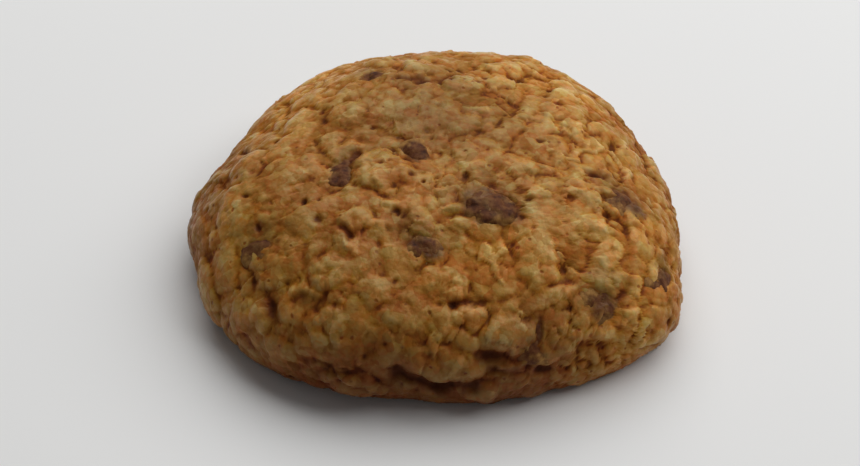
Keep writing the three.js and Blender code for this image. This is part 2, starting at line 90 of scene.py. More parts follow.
# The lumps of dough that the spoon left, and the oat flakes that stand out between them.
# They were dropped together and rose against each other, so each meets its neighbours in a crease.
SWELL_RISE = 0.35 * MM
SWELL_LENGTHS = np.array([26, 31, 37, 43]) * MM
GOLDEN_ANGLE = np.pi * (3 - np.sqrt(5))
LUMPS = [  # place, length and width in mm, bearing of the length, rise in mm
    ((246, 12), (12, 9), 106, 1.6),
    ((232, 52), (9, 8.5), 60, 0.8),
    ((227, 72), (6, 5), 116, 0.7),
    ((178, 78), (14, 8), 94, 1.3),
    ((161, 64), (9, 6.5), 86, 1.0),
    ((157, 42), (8.5, 8), 88, 0.9),
    ((176, 44), (8, 7.5), 92, 0.9),
    ((142, 39), (11, 8), 26, 1.0),
    ((142, 54), (6.5, 4.5), 80, 0.8),
    ((130, 54), (5, 4), 74, 0.8),
    ((158, 25), (8.5, 4.5), 101, 0.8),
    ((109, 36), (9, 4), 103, 0.9),
    ((342, 40), (7.5, 6), 90, 1.0),
    ((352, 33), (9, 5), 125, 1.0),
    ((16, 24), (7.5, 6), 85, 0.9),
    ((28, 40), (10, 7), 95, 1.2),
    ((267, 30), (10, 9.5), 20, 0.8),
    ((274, 46), (9, 7.5), 5, 0.9),
    ((216, 44), (7.5, 6), 100, 0.9),
    ((200, 46), (6.5, 5.5), 93, 0.8),
    ((170, 56), (6, 4.5), 92, 0.9),
    ((172, 66), (4.5, 3.5), 105, 0.7),
    ((258, 52), (7, 6.5), 170, 0.6),
    ((218, 19), (5.5, 3.5), 113, 0.7),
    ((208, 59), (6, 4), 99, 0.5),
    ((102, 18), (9, 5), 99, 0.7),
    ((118, 41), (5, 4.5), 90, 0.7),
    ((307, 24), (7, 6.5), 104, 0.7),
    ((298, 39), (6.5, 5.5), 0, 0.7),
    ((208, 72), (6.5, 4), 103, 0.5),
    ((246, 70), (8, 7), 35, 0.5),
    ((39, 10), (9, 5), 86, 0.5),
    ((61, 33), (8.5, 6), 105, 0.7),
    ((172, 18), (7, 4.5), 91, 0.5),
    ((168, 99), (7, 5), 94, 1.1),
    ((201, 96), (12, 6), 98, 1.6),
    ((248, 90), (12, 9), 60, 1.4),
    ((138, 74), (7.5, 4.5), 61, 0.7),
    ((190, 58), (7.5, 4.5), 94, 0.5),
    ((146, 72), (5.5, 4.5), 71, 0.7),
    ((219, 26), (9, 3.5), 97, 0.7),
    ((216, 34), (6, 5), 80, 0.6),
]
FLAKES = [  # place, length and width in mm, bearing of the end that stands up
    ((81, 42), (4.9, 2.8), 132),
    ((117, 64), (4.6, 3.9), 57),
    ((130, 70), (5.2, 2.2), 63),
    ((92, 28), (5.0, 3.5), 89),
    ((113, 54), (4.3, 3.4), 115),
]
TOP_LUMPS = 170
SIDE_LUMP_FALLS = (80, 96, 112)
SIDE_LUMPS_PER_ROW = 46
LUMP_LENGTH = (4.0 * MM, 9.0 * MM)
LUMP_ASPECT = (0.7, 1)  # width of a small lump as a share of its length
LUMP_RISE = (0.15 * MM, 0.5 * MM)
TOP_FLAKES = 110
SIDE_FLAKE_FALLS = (76, 92, 108)
SIDE_FLAKES_PER_ROW = 24
FLAKE_SIZE = np.array([6.4, 4.8]) * MM
FLAKE_SCALE = (0.7, 1.1)
FLAKE_LIFT = (0.3 * MM, 0.8 * MM)
STRAY = 12  # how far a lump or flake may stray round the dome, as a bearing at the rim
RING_JITTER = (0.2, 0.6)  # where on its own ring of the sunflower one lies: start and random share
RIM_SHARE = 0.95  # how far out to the waist the sunflower goes
ROW_JITTER = 0.7  # stray along a row round the side, in places
ROW_STRAY = 8  # stray up and down the side, as a fall
LUMP_COVER = 0.3  # how far inside a named lump a place counts as covered
CAP_ROUNDNESS = 0.65  # power of a lump's cap: lower makes a steeper edge
FLAKE_ROUNDNESS = 0.4
CROWD_SHARPNESS = 4
LEAST_CROWD = 1e-30  # keeps the flakes' share finite where nothing rises
DRAW = {  # the purpose of each random draw
    "lump_place": 1,
    "lump_length": 11,
    "lump_heading": 12,
    "lump_aspect": 13,
    "lump_rise": 14,
    "flake_place": 5,
    "flake_heading": 21,
    "flake_size": 22,
    "flake_lift": 23,
}
HASH_STEPS = np.array([12.9898, 78.233, 37.719])
HASH_SCALE = 43758.5453


def chance(item, purpose):
    """A repeatable number from 0 to 1 for an item and a purpose: the fraction of a large sine."""
    wave = np.sin(item * HASH_STEPS[0] + purpose * HASH_STEPS[1]) * HASH_SCALE
    return wave - np.floor(wave)


def between(limits, share):
    """The number that lies a share of the way from the first limit to the second."""
    return limits[0] + (limits[1] - limits[0]) * share


def spread_places(top_count, side_falls, per_row, salt):
    """Places spread as on a sunflower over the dome, then in staggered rows round the side, in degrees."""
    i = np.arange(top_count)
    spread = np.sqrt((i + RING_JITTER[0] + RING_JITTER[1] * chance(i, salt)) / top_count)
    fall = np.degrees(np.arcsin((RIM_SHARE * spread) ** (1 / SHOULDER)))
    stray = STRAY * (chance(i, salt + 30) - 0.5) / spread
    rows = [np.stack([np.degrees(i * GOLDEN_ANGLE) + 10 * salt + stray, fall], -1)]
    j = np.arange(per_row)
    for row, level in enumerate(side_falls):
        shift = row / len(side_falls) + ROW_JITTER * chance(j + row * per_row, salt + 1)
        row_fall = level + ROW_STRAY * (chance(j, salt + row + 2) - 0.5)
        rows.append(np.stack([(j + shift) * 360 / per_row, row_fall], -1))
    return np.concatenate(rows)


def oval_offsets(points, origin, axes, size):
    """Offsets of the points along a place's three axes, counted so that an oval of that size has its edge
    at 1."""
    return (points - origin) @ axes.T / (np.array([size[0], size[1], size[1]]) / 2)


def inside_oval(points, place, along, size):
    """1 at the middle of an oval on the surface, and 0 at its edge: 1 minus the distance squared."""
    offsets = oval_offsets(points, *place_axes(place, along), size)
    return np.clip(1 - (offsets**2).sum(-1), 0, 1)


def swell(points):
    """Broad unevenness: four waves that cross the pebble in different directions."""
    total = np.zeros(len(points))
    for i, length in enumerate(SWELL_LENGTHS):
        travel = points @ [np.sin(i * GOLDEN_ANGLE), np.cos(i * GOLDEN_ANGLE), 1]
        total += SWELL_RISE * np.sin(2 * np.pi * travel / length + i)
    return total


def bare_places(places):
    """The places that no named lump covers, where smaller lumps and flakes fill in."""
    points = dome(*np.radians(places).T)
    covered = np.zeros(len(places))
    for place, size, along, rise in LUMPS:
        covered = np.maximum(covered, inside_oval(points, place, along, np.array(size) * MM))
    return [(i, place) for i, place in enumerate(places) if covered[i] < LUMP_COVER]


def crowd(points):
    """Lumps are steep-edged caps and flakes are tilted plates. The crowd is a smooth maximum of them all:
    the root of the sum of their powers. Also returns the flakes' share of it."""
    lumps = np.zeros(len(points))
    flakes = np.zeros(len(points))
    for place, size, along, rise in LUMPS:
        inside = inside_oval(points, place, along, np.array(size) * MM)
        lumps += (rise * MM * inside**CAP_ROUNDNESS) ** CROWD_SHARPNESS
    lump_places = spread_places(TOP_LUMPS, SIDE_LUMP_FALLS, SIDE_LUMPS_PER_ROW, DRAW["lump_place"])
    for i, place in bare_places(lump_places):
        length = between(LUMP_LENGTH, chance(i, DRAW["lump_length"]))
        size = (length, length * between(LUMP_ASPECT, chance(i, DRAW["lump_aspect"])))
        inside = inside_oval(points, place, 360 * chance(i, DRAW["lump_heading"]), size)
        rise = between(LUMP_RISE, chance(i, DRAW["lump_rise"]))
        lumps += (rise * inside**CAP_ROUNDNESS) ** CROWD_SHARPNESS
    loose = [(place, np.array(size) * MM, along, FLAKE_LIFT[1]) for place, size, along in FLAKES]
    flake_places = spread_places(TOP_FLAKES, SIDE_FLAKE_FALLS, SIDE_FLAKES_PER_ROW, DRAW["flake_place"])
    for i, place in bare_places(flake_places):
        size = FLAKE_SIZE * between(FLAKE_SCALE, chance(i, DRAW["flake_size"]))
        lift = between(FLAKE_LIFT, chance(i, DRAW["flake_lift"]))
        loose.append((place, size, 360 * chance(i, DRAW["flake_heading"]), lift))
    for place, size, along, lift in loose:
        offsets = oval_offsets(points, *place_axes(place, along), size)
        inside = np.clip(1 - (offsets**2).sum(-1), 0, 1)
        plate = lift * np.maximum(0.5 + offsets[:, 0] / 2, 0)
        flakes += (plate * inside**FLAKE_ROUNDNESS) ** CROWD_SHARPNESS
    total = lumps + flakes
    return total ** (1 / CROWD_SHARPNESS), flakes / np.maximum(total, LEAST_CROWD)


# The cracks that opened between the lumps as the dough rose, the pits where gas came out,
# and the hollows that the chips sit in.
CRACKS = [  # the places that it runs through, width and depth in mm
    ([(343, 26), (358, 24), (8, 25)], 0.9, 0.8),
    ([(250, 22), (262, 18), (272, 15)], 1.1, 1.3),
    ([(238, 47), (242, 54), (240, 60), (235, 65)], 0.9, 1.5),
    ([(229, 63), (224, 66), (222, 70)], 1.3, 0.6),
    ([(190, 82), (179, 91), (170, 89)], 1.4, 1.6),
    ([(168, 74), (158, 75)], 1.0, 1.1),
    ([(166, 79), (150, 86)], 0.8, 0.9),
    ([(132, 34), (136, 40), (138, 46)], 0.8, 0.9),
    ([(96, 36), (95, 41)], 0.8, 0.9),
    ([(74, 38), (72, 42)], 0.7, 0.7),
    ([(234, 33), (224, 31), (216, 30)], 0.8, 1.1),
    ([(220, 58), (210, 54), (203, 55)], 1.1, 0.5),
    ([(288, 60), (282, 44)], 0.6, 0.5),
    ([(304, 33), (298, 29)], 0.7, 0.6),
    ([(212, 80), (206, 78)], 0.8, 0.6),
    ([(84, 14), (81, 16)], 0.6, 0.5),
    ([(174, 52), (166, 52)], 0.8, 0.7),
]
PITS = [
    (330, 40), (310, 33), (286, 41), (288, 50), (302, 16), (194, 9), (214, 8), (246, 32), (252, 40),
    (203, 21), (45, 38), (48, 33), (56, 46), (78, 23), (120, 14), (140, 8), (125, 23), (204, 26),
    (203, 32), (197, 72), (182, 72), (22, 26), (247, 48), (126, 66), (136, 72), (134, 44), (136, 25),
    (241, 28), (198, 22), (203, 27), (204, 31), (194, 44), (216, 32),
]
PIT_WIDTH = 0.55 * MM
PIT_DEPTH = 0.8 * MM
CHIPS = {  # place, bearing of the length, length and width that show and rim above the dome in mm
    "chip_crown": ((268, 3), 160, (4.4, 3.0), -0.1),
    "chip_large": ((144, 20), 106, (7.8, 5.6), 0.5),
    "chip_front": ((184, 32), 111, (5.4, 3.0), 0.2),
    "chip_right": ((102, 49), 98, (6.2, 3.4), 0.6),
    "chip_lower_right": ((134, 62), 73, (4.2, 3.4), -0.1),
    "chip_right_edge": ((114, 71), 20, (3.8, 1.8), -0.45),
    "chip_lower_front": ((153, 67), 2, (3.8, 1.6), 0.3),
    "chip_far": ((334, 31), 96, (4.4, 2.0), 1.0),
    "chip_left": ((241, 51), 95, (4.2, 1.5), 0.4),
    "chip_upper_left": ((257, 19), 26, (3.6, 1.4), -0.3),
}
CHIP_SIZE = np.array([9.0, 7.8, 4.6]) * MM  # length, width and depth
APRON = 1.35  # how far the dough gives way round a chip, in times what shows of it
RECESS_CLEAR = 0.15 * MM


def bell(distance, width):
    """1 at no distance, falling off as e to the minus square of the distance in widths."""
    return np.exp(-((distance / width) ** 2))


def crack_depth(points):
    """Depth of the nearest crack or pit: a bell curve of the distance to the line through its places."""
    deepest = np.zeros(len(points))
    for places, width, depth in CRACKS:
        corners = dome(*np.radians(places).T)
        for a, b in zip(corners, corners[1:]):
            along = np.clip((points - a) @ (b - a) / ((b - a) @ (b - a)), 0, 1)
            away = np.linalg.norm(points - a - along[:, None] * (b - a), axis=-1)
            deepest = np.maximum(deepest, depth * MM * bell(away, width * MM))
    for middle in dome(*np.radians(PITS).T):
        away = np.linalg.norm(points - middle, axis=-1)
        deepest = np.maximum(deepest, PIT_DEPTH * bell(away, PIT_WIDTH))
    return deepest


def chip_back(patch, away):
    """Level of a chip's back above the rim of what shows: an ellipse's arc over the distance, which is 1
    at the rim."""
    share = np.mean(patch) * MM / np.mean(CHIP_SIZE[:2])
    arc = np.sqrt(np.clip(1 - (share * away) ** 2, 0, 1)) - np.sqrt(1 - share**2)
    return CHIP_SIZE[2] / 2 * arc


def ease(value):
    """A smooth step from 0 to 1 as the value goes from 0 to 1."""
    value = np.clip(value, 0, 1)
    return value * value * (3 - 2 * value)


def oval_distance(points, place, along, size):
    """Distance from a place, counted so that an oval of that size has its edge at 1."""
    return np.linalg.norm(oval_offsets(points, *place_axes(place, along), size), axis=-1)


def recess(points, moved):
    """How far the dough gives way to the chips, and the level of the dough there. The first is 1 over what
    shows of a chip and 0 at the edge of its apron, measured on the moved points. The level is just under
    the chip's back, and flush with its rim."""
    share = np.zeros(len(points))
    level = np.zeros(len(points))
    for place, along, patch, rim in CHIPS.values():
        size = np.array(patch) * MM
        here = ease((APRON - oval_distance(moved, place, along, size)) / (APRON - 1))
        away = oval_distance(points, place, along, size)
        under = np.maximum(chip_back(patch, away), 0) - RECESS_CLEAR * ease(2 - 2 * away)
        level = np.where(here > share, rim * MM + under, level)
        share = np.maximum(share, here)
    return share, level


def near_chip(points, spread):
    """1 at a chip's middle, falling to 0 at the edge of an oval: its visible patch times the spread."""
    nearness = np.zeros(len(points))
    for place, along, patch, rim in CHIPS.values():
        nearness = np.maximum(nearness, inside_oval(points, place, along, spread * np.array(patch) * MM))
    return nearness


# The crumb of the dough: clumps and single flakes under the skin, finer than the lumps, all over it.
# They were pressed together cold and pulled apart as they baked, so each is set off by a crease.
CRUMBS = [  # length, step and depth of the crease in mm
    (6.2, 0.6, 0.95),
    (3.0, 0.32, 0.64),
    (1.3, 0.08, 0.18),
]
CRUMB_STRETCH = 0.78  # how much less the distance counts along a clump
CRUMB_TILT = 1.2
CREASE_WIDTH = 0.14  # this and the next four are in lengths of the clump
CRUMB_WARP = 0.22
CRUMB_WARP_LENGTH = 0.55
TEAR_LENGTH = 1.6
FAR = 9.0
TEAR_START = 0.12  # the creases open where random waves, times the gain, come above minus the start
TEAR_GAIN = 1.5
GRAIN_LENGTH = 0.9 * MM
GRAIN_RISE = 0.08 * MM
PORE_SPACING = 3.6 * MM
PORE_DEPTH = 0.65 * MM
PORE_WIDTH = 0.14  # in spacings
PORE_RARITY = 0.9
ROUGH_MIDDLE = 0.55  # share of the crumb's full height, with a swing, and a lean per metre
ROUGH_SWING = 0.3
ROUGH_LENGTH = 15 * MM
ROUGH_LEAN = np.array([6.0, 2.0, 0.0])
ROUGH_RANGE = (0.45, 0.85)
CRUMB_DRAW = {  # the purpose of each random draw, one for each size of clump where there are three
    "clump": (41, 54, 67),
    "clump_warp": (110, 130, 150),
    "tear": (240, 245, 250),
    "grain": 31,
    "rough": 26,
    "pore_place": 60,
    "pore_depth": 63,
}
PURPOSE_STEP = 7.13
RIPPLE_GAIN = 1.7  # brings the waves to about -1 to 1


def corner_chance(corner, purpose):
    """A repeatable number from 0 to 1 for each corner of a lattice of cubes: a large sine's fraction."""
    wave = np.sin(corner @ HASH_STEPS + purpose * PURPOSE_STEP) * HASH_SCALE
    return wave - np.floor(wave)


def corner_offset(corner, purpose):
    """Three repeatable numbers from 0 to 1 for each corner."""
    return np.stack([corner_chance(corner, purpose + axis) for axis in range(3)], -1)


def ripple(points, length, salt):
    """Smooth random waves from about -1 to 1: random slopes at the corners of cubes of that length, blended
    by a smooth step."""
    cube = np.floor(points / length)
    offset = points / length - cube
    share = offset**3 * (offset * (6 * offset - 15) + 10)
    total = np.zeros(len(points))
    for step in itertools.product((0, 1), repeat=3):
        slope = corner_offset(cube + step, salt) * 2 - 1
        weight = np.prod(np.where(step, share, 1 - share), axis=-1)
        total += weight * ((offset - step) * slope).sum(-1)
    return RIPPLE_GAIN * total


def shaken(points, length, reach, salt):
    """The points, moved about by random waves of that length, by about the reach."""
    return points + reach * np.stack([ripple(points, length, salt + 5 * axis) for axis in range(3)], -1)


def crumbs(points, length, salt):
    """Clumps that fit together like flagstones. Each point belongs to the nearest of random seeds, one in
    each cube of that length, by a distance that counts less along the seed's own direction. A clump has
    its seed's own level and leans along its direction. Also returns the crease, 1 at the line to the next
    clump and fading from it."""
    nearest = np.full(len(points), FAR)
    second = np.full(len(points), FAR)
    level = np.zeros(len(points))
    cube = np.floor(points / length)
    for step in itertools.product((-1, 0, 1), repeat=3):
        corner = cube + step
        offset = points / length - corner - corner_offset(corner, salt)
        lengthwise = (offset * unit(corner_offset(corner, salt + 3) - 0.5)).sum(-1)
        away = np.sqrt((offset**2).sum(-1) - CRUMB_STRETCH * lengthwise**2)
        lean = CRUMB_TILT * lengthwise * (corner_chance(corner, salt + 7) - 0.5)
        own = corner_chance(corner, salt + 6) - 0.5 + lean
        closer = away < nearest
        second = np.where(closer, nearest, np.minimum(second, away))
        level = np.where(closer, own, level)
        nearest = np.where(closer, away, nearest)
    return level, np.exp(-(second - nearest) / CREASE_WIDTH)


def pores(points):
    """Depth of the pores: narrow bells at some of a set of random seeds, one in each cube of their
    spacing."""
    depth = np.zeros(len(points))
    cube = np.floor(points / PORE_SPACING)
    for step in itertools.product((-1, 0, 1), repeat=3):
        corner = cube + step
        offset = points / PORE_SPACING - corner - corner_offset(corner, CRUMB_DRAW["pore_place"])
        away = np.linalg.norm(offset, axis=-1)
        share = np.clip(2 * corner_chance(corner, CRUMB_DRAW["pore_depth"]) - PORE_RARITY, 0, 1)
        depth = np.maximum(depth, PORE_DEPTH * share * bell(away, PORE_WIDTH))
    return depth


def crumb(points):
    """The clumps of all sizes, less the creases between them, with a fine grain of random waves over them,
    all times a roughness that changes slowly over the cookie."""
    total = GRAIN_RISE * ripple(points, GRAIN_LENGTH, CRUMB_DRAW["grain"])
    for k, (length, rise, depth) in enumerate(CRUMBS):
        warp_length = CRUMB_WARP_LENGTH * length * MM
        moved = shaken(points, warp_length, CRUMB_WARP * length * MM, CRUMB_DRAW["clump_warp"][k])
        level, crease = crumbs(moved, length * MM, CRUMB_DRAW["clump"][k])
        tears = ripple(points, TEAR_LENGTH * length * MM, CRUMB_DRAW["tear"][k])
        torn = np.clip(TEAR_START + TEAR_GAIN * tears, 0, 1)
        total += MM * (rise * level - depth * torn * crease)
    swing = ROUGH_SWING * ripple(points, ROUGH_LENGTH, CRUMB_DRAW["rough"])
    rough = ROUGH_MIDDLE + swing + points @ ROUGH_LEAN
    return np.clip(rough, *ROUGH_RANGE) * total


# The crust: the whole skin of the dough, from the crown down the side and over the flat underside.
# It is one closed sheet of baked dough, golden on its ridges, with painted shade that darkens and warms its
# hollows.
SHEET_CELLS = 300
PROFILE_STEPS = 400
FOOT_FALL = np.arccos(-WAIST / BELLY)
SKIN_LIFT = 0.3 * MM
CRUST_DRAW = {"warp": 71, "rag": 151, "torn": 161, "dent": 86}  # the purpose of each random draw
WARP_LENGTH = 3.5 * MM  # the warp pulls the shapes about, and the rag frays the edges of gaps and chips
WARP_REACH = 0.7 * MM
RAG_LENGTH = 1.6 * MM
RAG_REACH = 0.5 * MM
CROWD_WARP = 1.7  # how strongly the warp moves the lumps, and then the crumb, cracks, chips and the painted shade round the chips
CRUMB_SHIFT = 0.5
CRACK_WARP = 0.8
CHIP_WARP = 1.4
CHIP_SHADE_WARP = 2
TORN_LENGTH = 4.5 * MM
TORN_START = 0.6
TORN_GAIN = 0.9
TORN_RANGE = (0.1, 1.2)
RIM_GRAINS = 0.9  # share of the crumb that carries on round a chip
UNDERSIDE_RINGS = 5
UNDERSIDE_EDGE = 0.98  # the outer ring as a share of the border's reach
UNDERSIDE_BROWN = 0.6
UNDERSIDE_DENT = 0.15 * MM
DENT_LENGTH = 6 * MM


def round_sheet(cells):
    """The square sheet drawn round: the larger of |u| and |v| is the share of the way down from the crown,
    and the position along that square ring is the bearing."""
    u, v = np.meshgrid(np.linspace(-1, 1, cells + 1), np.linspace(-1, 1, cells + 1))
    wide = np.abs(u) > np.abs(v)
    major = np.where(wide, u, v)
    minor = np.where(wide, v, u)
    lean = np.pi / 4 * np.divide(minor, major, out=np.zeros_like(u), where=major != 0)
    bearing = np.where(wide, np.pi / 2 - lean, lean) + np.where(major < 0, np.pi, 0)
    falls = np.linspace(0, FOOT_FALL, PROFILE_STEPS)
    profile = dome(np.zeros_like(falls), falls)
    travelled = np.concatenate([[0], np.cumsum(np.linalg.norm(np.diff(profile, axis=0), axis=-1))])
    return bearing, np.interp(np.abs(major), travelled / travelled[-1], falls)


def sheet_normals(points):
    """Outward normals of a sheet: the cross product of its steps in u and v."""
    return unit(np.cross(np.gradient(points, axis=1), np.gradient(points, axis=0)))


def blurred(sheet, cells):
    """The sheet's values averaged over a square of cells either way, by differences of running sums."""
    count = len(sheet)
    for axis in (0, 1):
        margins = [(cells + 1, cells) if k == axis else (0, 0) for k in (0, 1)]
        padded = np.pad(sheet, margins, mode="edge")
        sums = np.cumsum(padded, axis=axis)
        upper = np.take(sums, np.arange(count) + 2 * cells + 1, axis=axis)
        lower = np.take(sums, np.arange(count), axis=axis)
        sheet = (upper - lower) / (2 * cells + 1)
    return sheet


def grid_faces(rows, columns):
    """Corner indices of the squares of a grid, turned to face along u cross v."""
    corner = np.arange((rows - 1) * columns).reshape(rows - 1, columns)[:, :-1].ravel()
    return np.stack([corner, corner + 1, corner + columns + 1, corner + columns], -1)


def make_piece(name, points, faces, node):
    """A smooth-shaded mesh from whole arrays of points and faces. It rides on the cookie and stands for a
    CAD node."""
    mesh = bpy.data.meshes.new(name)
    mesh.from_pydata(points, [], faces)
    mesh.polygons.foreach_set("use_smooth", np.ones(len(mesh.polygons), bool))
    mesh.update()
    piece = bpy.data.objects.new(name, mesh)
    bpy.context.scene.collection.objects.link(piece)
    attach(piece, "root")
    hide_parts(node)
    return piece


def set_attribute(piece, name, values, rest=0):
    """A number for each point of a piece's mesh, for its material to read. Points past the values get the
    rest value."""
    full = np.full(len(piece.data.vertices), rest, np.float32)
    full[: values.size] = values.ravel()
    piece.data.attributes.new(name, "FLOAT", "POINT").data.foreach_set("value", full)


# How far each point lies below its neighbours, which the crust's colour reads for its painted shade.
HOLLOWS = {  # cells that the height is averaged over, and the least and greatest depth below that in mm
    "hollow_fine": (4, -0.5, 0.8),
    "hollow_broad": (14, -1.5, 2.0),
}
GAP_FULL = 0.8 * MM  # depth at which a crack's painted shade is as dark as any
STAIN_SPREAD = 1.6  # reach of the chocolate stain round a chip, in times what shows of it
# The painted shade round the chips: its reach in times what shows of a chip, and its shift back.
CHIP_SHADE_SPREAD = 2.8
CHIP_SHADE_SHIFT = np.array([-0.5, 2.5, 0.5]) * MM
# A darker patch at the crown: its place and its reach.
CROWN_DARK_PLACE = (0, 12)
CROWN_DARK_REACH = 15 * MM
# Darker towards the foot, partly from browning and partly as painted shade on the sides away from the
# light.
BROWNED_HEIGHT = 20 * MM
BROWNED_POWER = 1.3
LIGHT_AND_SHADE_PATCHES = [  # place, reach in mm and amount: above 0 darker, as painted shade, below 0 paler, as painted light
    ((118, 60), 14, -0.12),
    ((100, 88), 12, -0.4),
    ((312, 62), 14, -0.35),
    ((250, 78), 14, -0.45),
    ((185, 88), 18, 0.2),
    ((243, 36), 12, 0.3),
    ((200, 62), 9, 0.2),
    ((152, 72), 9, 0.25),
    ((134, 98), 11, -0.55),
    ((323, 70), 9, -0.55),
    ((32, 40), 9, -0.5),
    ((156, 38), 11, -0.4),
    ((272, 54), 10, 0.3),
    ((110, 33), 8, 0.2),
    ((218, 65), 8, -0.2),
    ((152, 62), 9, 0.3),
    ((214, 34), 9, 0.15),
    ((214, 98), 10, 0.2),
]
side = SHEET_CELLS + 1
smooth = dome(*round_sheet(SHEET_CELLS))
outward = sheet_normals(smooth).reshape(-1, 3)
skin = smooth.reshape(-1, 3)
warp = shaken(skin, WARP_LENGTH, WARP_REACH, CRUST_DRAW["warp"]) - skin
rag = shaken(skin, RAG_LENGTH, RAG_REACH, CRUST_DRAW["rag"]) - skin
rise, flake = crowd(skin + CROWD_WARP * warp)
grains = crumb(skin + CRUMB_SHIFT * warp)
tears = ripple(skin, TORN_LENGTH, CRUST_DRAW["torn"])
torn = np.clip(TORN_START + TORN_GAIN * tears, *TORN_RANGE)
gap = np.maximum(torn * crack_depth(skin + CRACK_WARP * warp + rag), pores(skin + rag))
relief = SKIN_LIFT + swell(skin) + rise + grains - gap
blotted = skin + CHIP_WARP * warp + CHIP_WARP * rag
opened, level = recess(skin, blotted)
relief += opened * (level + RIM_GRAINS * grains - relief)
upper = skin + outward * relief[:, None]
upper[:, 2] = np.maximum(upper[:, 2], 0)

index = np.arange(side * side).reshape(side, side)
border = np.concatenate([index[0, :-1], index[:-1, -1], index[-1, :0:-1], index[:0:-1, 0]])
shrink = np.linspace(UNDERSIDE_EDGE, 0, UNDERSIDE_RINGS + 1)[:-1, None, None]
below = upper[border] * shrink * [1, 1, 0]
dent = 1 + ripple(below.reshape(-1, 3), DENT_LENGTH, CRUST_DRAW["dent"]).reshape(below.shape[:2])
below[..., 2] = UNDERSIDE_DENT * dent * np.sin(np.pi * shrink[..., 0])
rings = np.concatenate([border[None], side * side + np.arange(dent.size).reshape(dent.shape)])
after = np.roll(rings, -1, axis=1)
ring_faces = np.stack([rings[:-1], rings[1:], after[1:], after[:-1]], -1).reshape(-1, 4)
middle = side * side + dent.size
fan_faces = np.stack([rings[-1], np.full(len(border), middle), after[-1]], -1)
crust_points = np.concatenate([upper, below.reshape(-1, 3), np.zeros((1, 3))])
crust_faces = grid_faces(side, side).tolist() + ring_faces.tolist() + fan_faces.tolist()
crust = make_piece("crust", crust_points, crust_faces, "dough")

heights = relief.reshape(side, side) / MM
for name, (blur_cells, least, greatest) in HOLLOWS.items():
    set_attribute(crust, name, np.clip(blurred(heights, blur_cells) - heights, least, greatest))
# Darker towards the foot: partly browning, partly painted shade.
browned_lit_and_shaded = np.clip(1 - upper[:, 2] / BROWNED_HEIGHT, 0, 1) ** BROWNED_POWER
# Patches round the side, some paler and some darker: painted light and shade.
for place, patch_reach, amount in LIGHT_AND_SHADE_PATCHES:
    away = np.linalg.norm(upper - dome(*np.radians(place)), axis=-1)
    browned_lit_and_shaded += amount * bell(away, patch_reach * MM)
set_attribute(crust, "browned_lit_and_shaded", browned_lit_and_shaded, UNDERSIDE_BROWN)
# How dark the cracks and pits are painted: painted shade.
set_attribute(crust, "gap", np.clip(gap / GAP_FULL, 0, 1) * (1 - opened))
set_attribute(crust, "stain", near_chip(blotted, STAIN_SPREAD))
set_attribute(crust, "flake", flake * (1 - opened))
# Dull: darker at the crown, and painted shade in the shallow hollows round the chips.
crown_darkening = bell(np.linalg.norm(upper - dome(*np.radians(CROWN_DARK_PLACE)), axis=-1), CROWN_DARK_REACH)
chip_shade = near_chip(skin + CHIP_SHADE_WARP * warp - CHIP_SHADE_SHIFT, CHIP_SHADE_SPREAD)
set_attribute(crust, "dull", np.maximum(crown_darkening, chip_shade))


def paint(name):
    """A new material with its nodes: returns the material, its node tree and its surface shader."""
    material = bpy.data.materials.new(name)
    material.use_nodes = True
    return material, material.node_tree, material.node_tree.nodes["Principled BSDF"]


def srgb(red, green, blue):
    """A colour given by its three screen values from 0 to 255, as linear light."""
    value = np.array([red, green, blue]) / 255
    linear = np.where(value <= 0.04045, value / 12.92, ((value + 0.055) / 1.055) ** 2.4)
    return (*linear, 1)


def add_node(tree, kind, values=None, **settings):
    """A new node. Each value is set on the socket that its key names, or is another node's output to link
    to it."""
    made = tree.nodes.new(kind)
    for name, value in settings.items():
        setattr(made, name, value)
    for socket, value in (values or {}).items():
        if isinstance(value, bpy.types.NodeSocket):
            tree.links.new(value, made.inputs[socket])
        else:
            made.inputs[socket].default_value = value
    return made


def weigh(tree, start, *terms):
    """A running sum: the start value, plus each socket times its weight."""
    for socket, weight in terms:
        values = {0: socket, 1: weight, 2: start}
        start = add_node(tree, "ShaderNodeMath", values, operation="MULTIPLY_ADD").outputs[0]
    return start


def noise(tree, length, detail=3, roughness=0.55, shift=0):
    """Random blotches of that length, from 0 to 1, in the piece's own space."""
    place = add_node(tree, "ShaderNodeTexCoord").outputs["Object"]
    moved = add_node(tree, "ShaderNodeMapping", {"Vector": place, "Location": (shift, shift, shift)})
    values = {"Vector": moved.outputs[0], "Scale": 1 / length, "Detail": detail, "Roughness": roughness}
    return add_node(tree, "ShaderNodeTexNoise", values).outputs["Fac"]


def cells(tree, length, stray):
    """Irregular cells of that length, whose borders stray by noise. Returns the distance from the cell's
    middle, as a share of the length, and the cell's own random numbers."""
    place = add_node(tree, "ShaderNodeTexCoord").outputs["Object"]
    waves = add_node(tree, "ShaderNodeTexNoise", {"Vector": place, "Scale": 1 / length, "Detail": 2})
    shift = {0: waves.outputs["Color"], 1: (stray, stray, stray), 2: place}
    moved = add_node(tree, "ShaderNodeVectorMath", shift, operation="MULTIPLY_ADD")
    cell = add_node(tree, "ShaderNodeTexVoronoi", {"Vector": moved.outputs[0], "Scale": 1 / length})
    own = add_node(tree, "ShaderNodeSeparateColor", {"Color": cell.outputs["Color"]})
    return cell.outputs["Distance"], own.outputs


def step_up(tree, socket, low, high):
    """0 below the low value, 1 above the high one, and a smooth step between."""
    values = {"Value": socket, "From Min": low, "From Max": high}
    return add_node(tree, "ShaderNodeMapRange", values, interpolation_type="SMOOTHSTEP").outputs[0]


def tint(tree, share, base, colour):
    """The base colour, turned to another colour by a share."""
    mix = add_node(tree, "ShaderNodeMix", {0: share, 6: base, 7: colour}, data_type="RGBA")
    return mix.outputs[2]


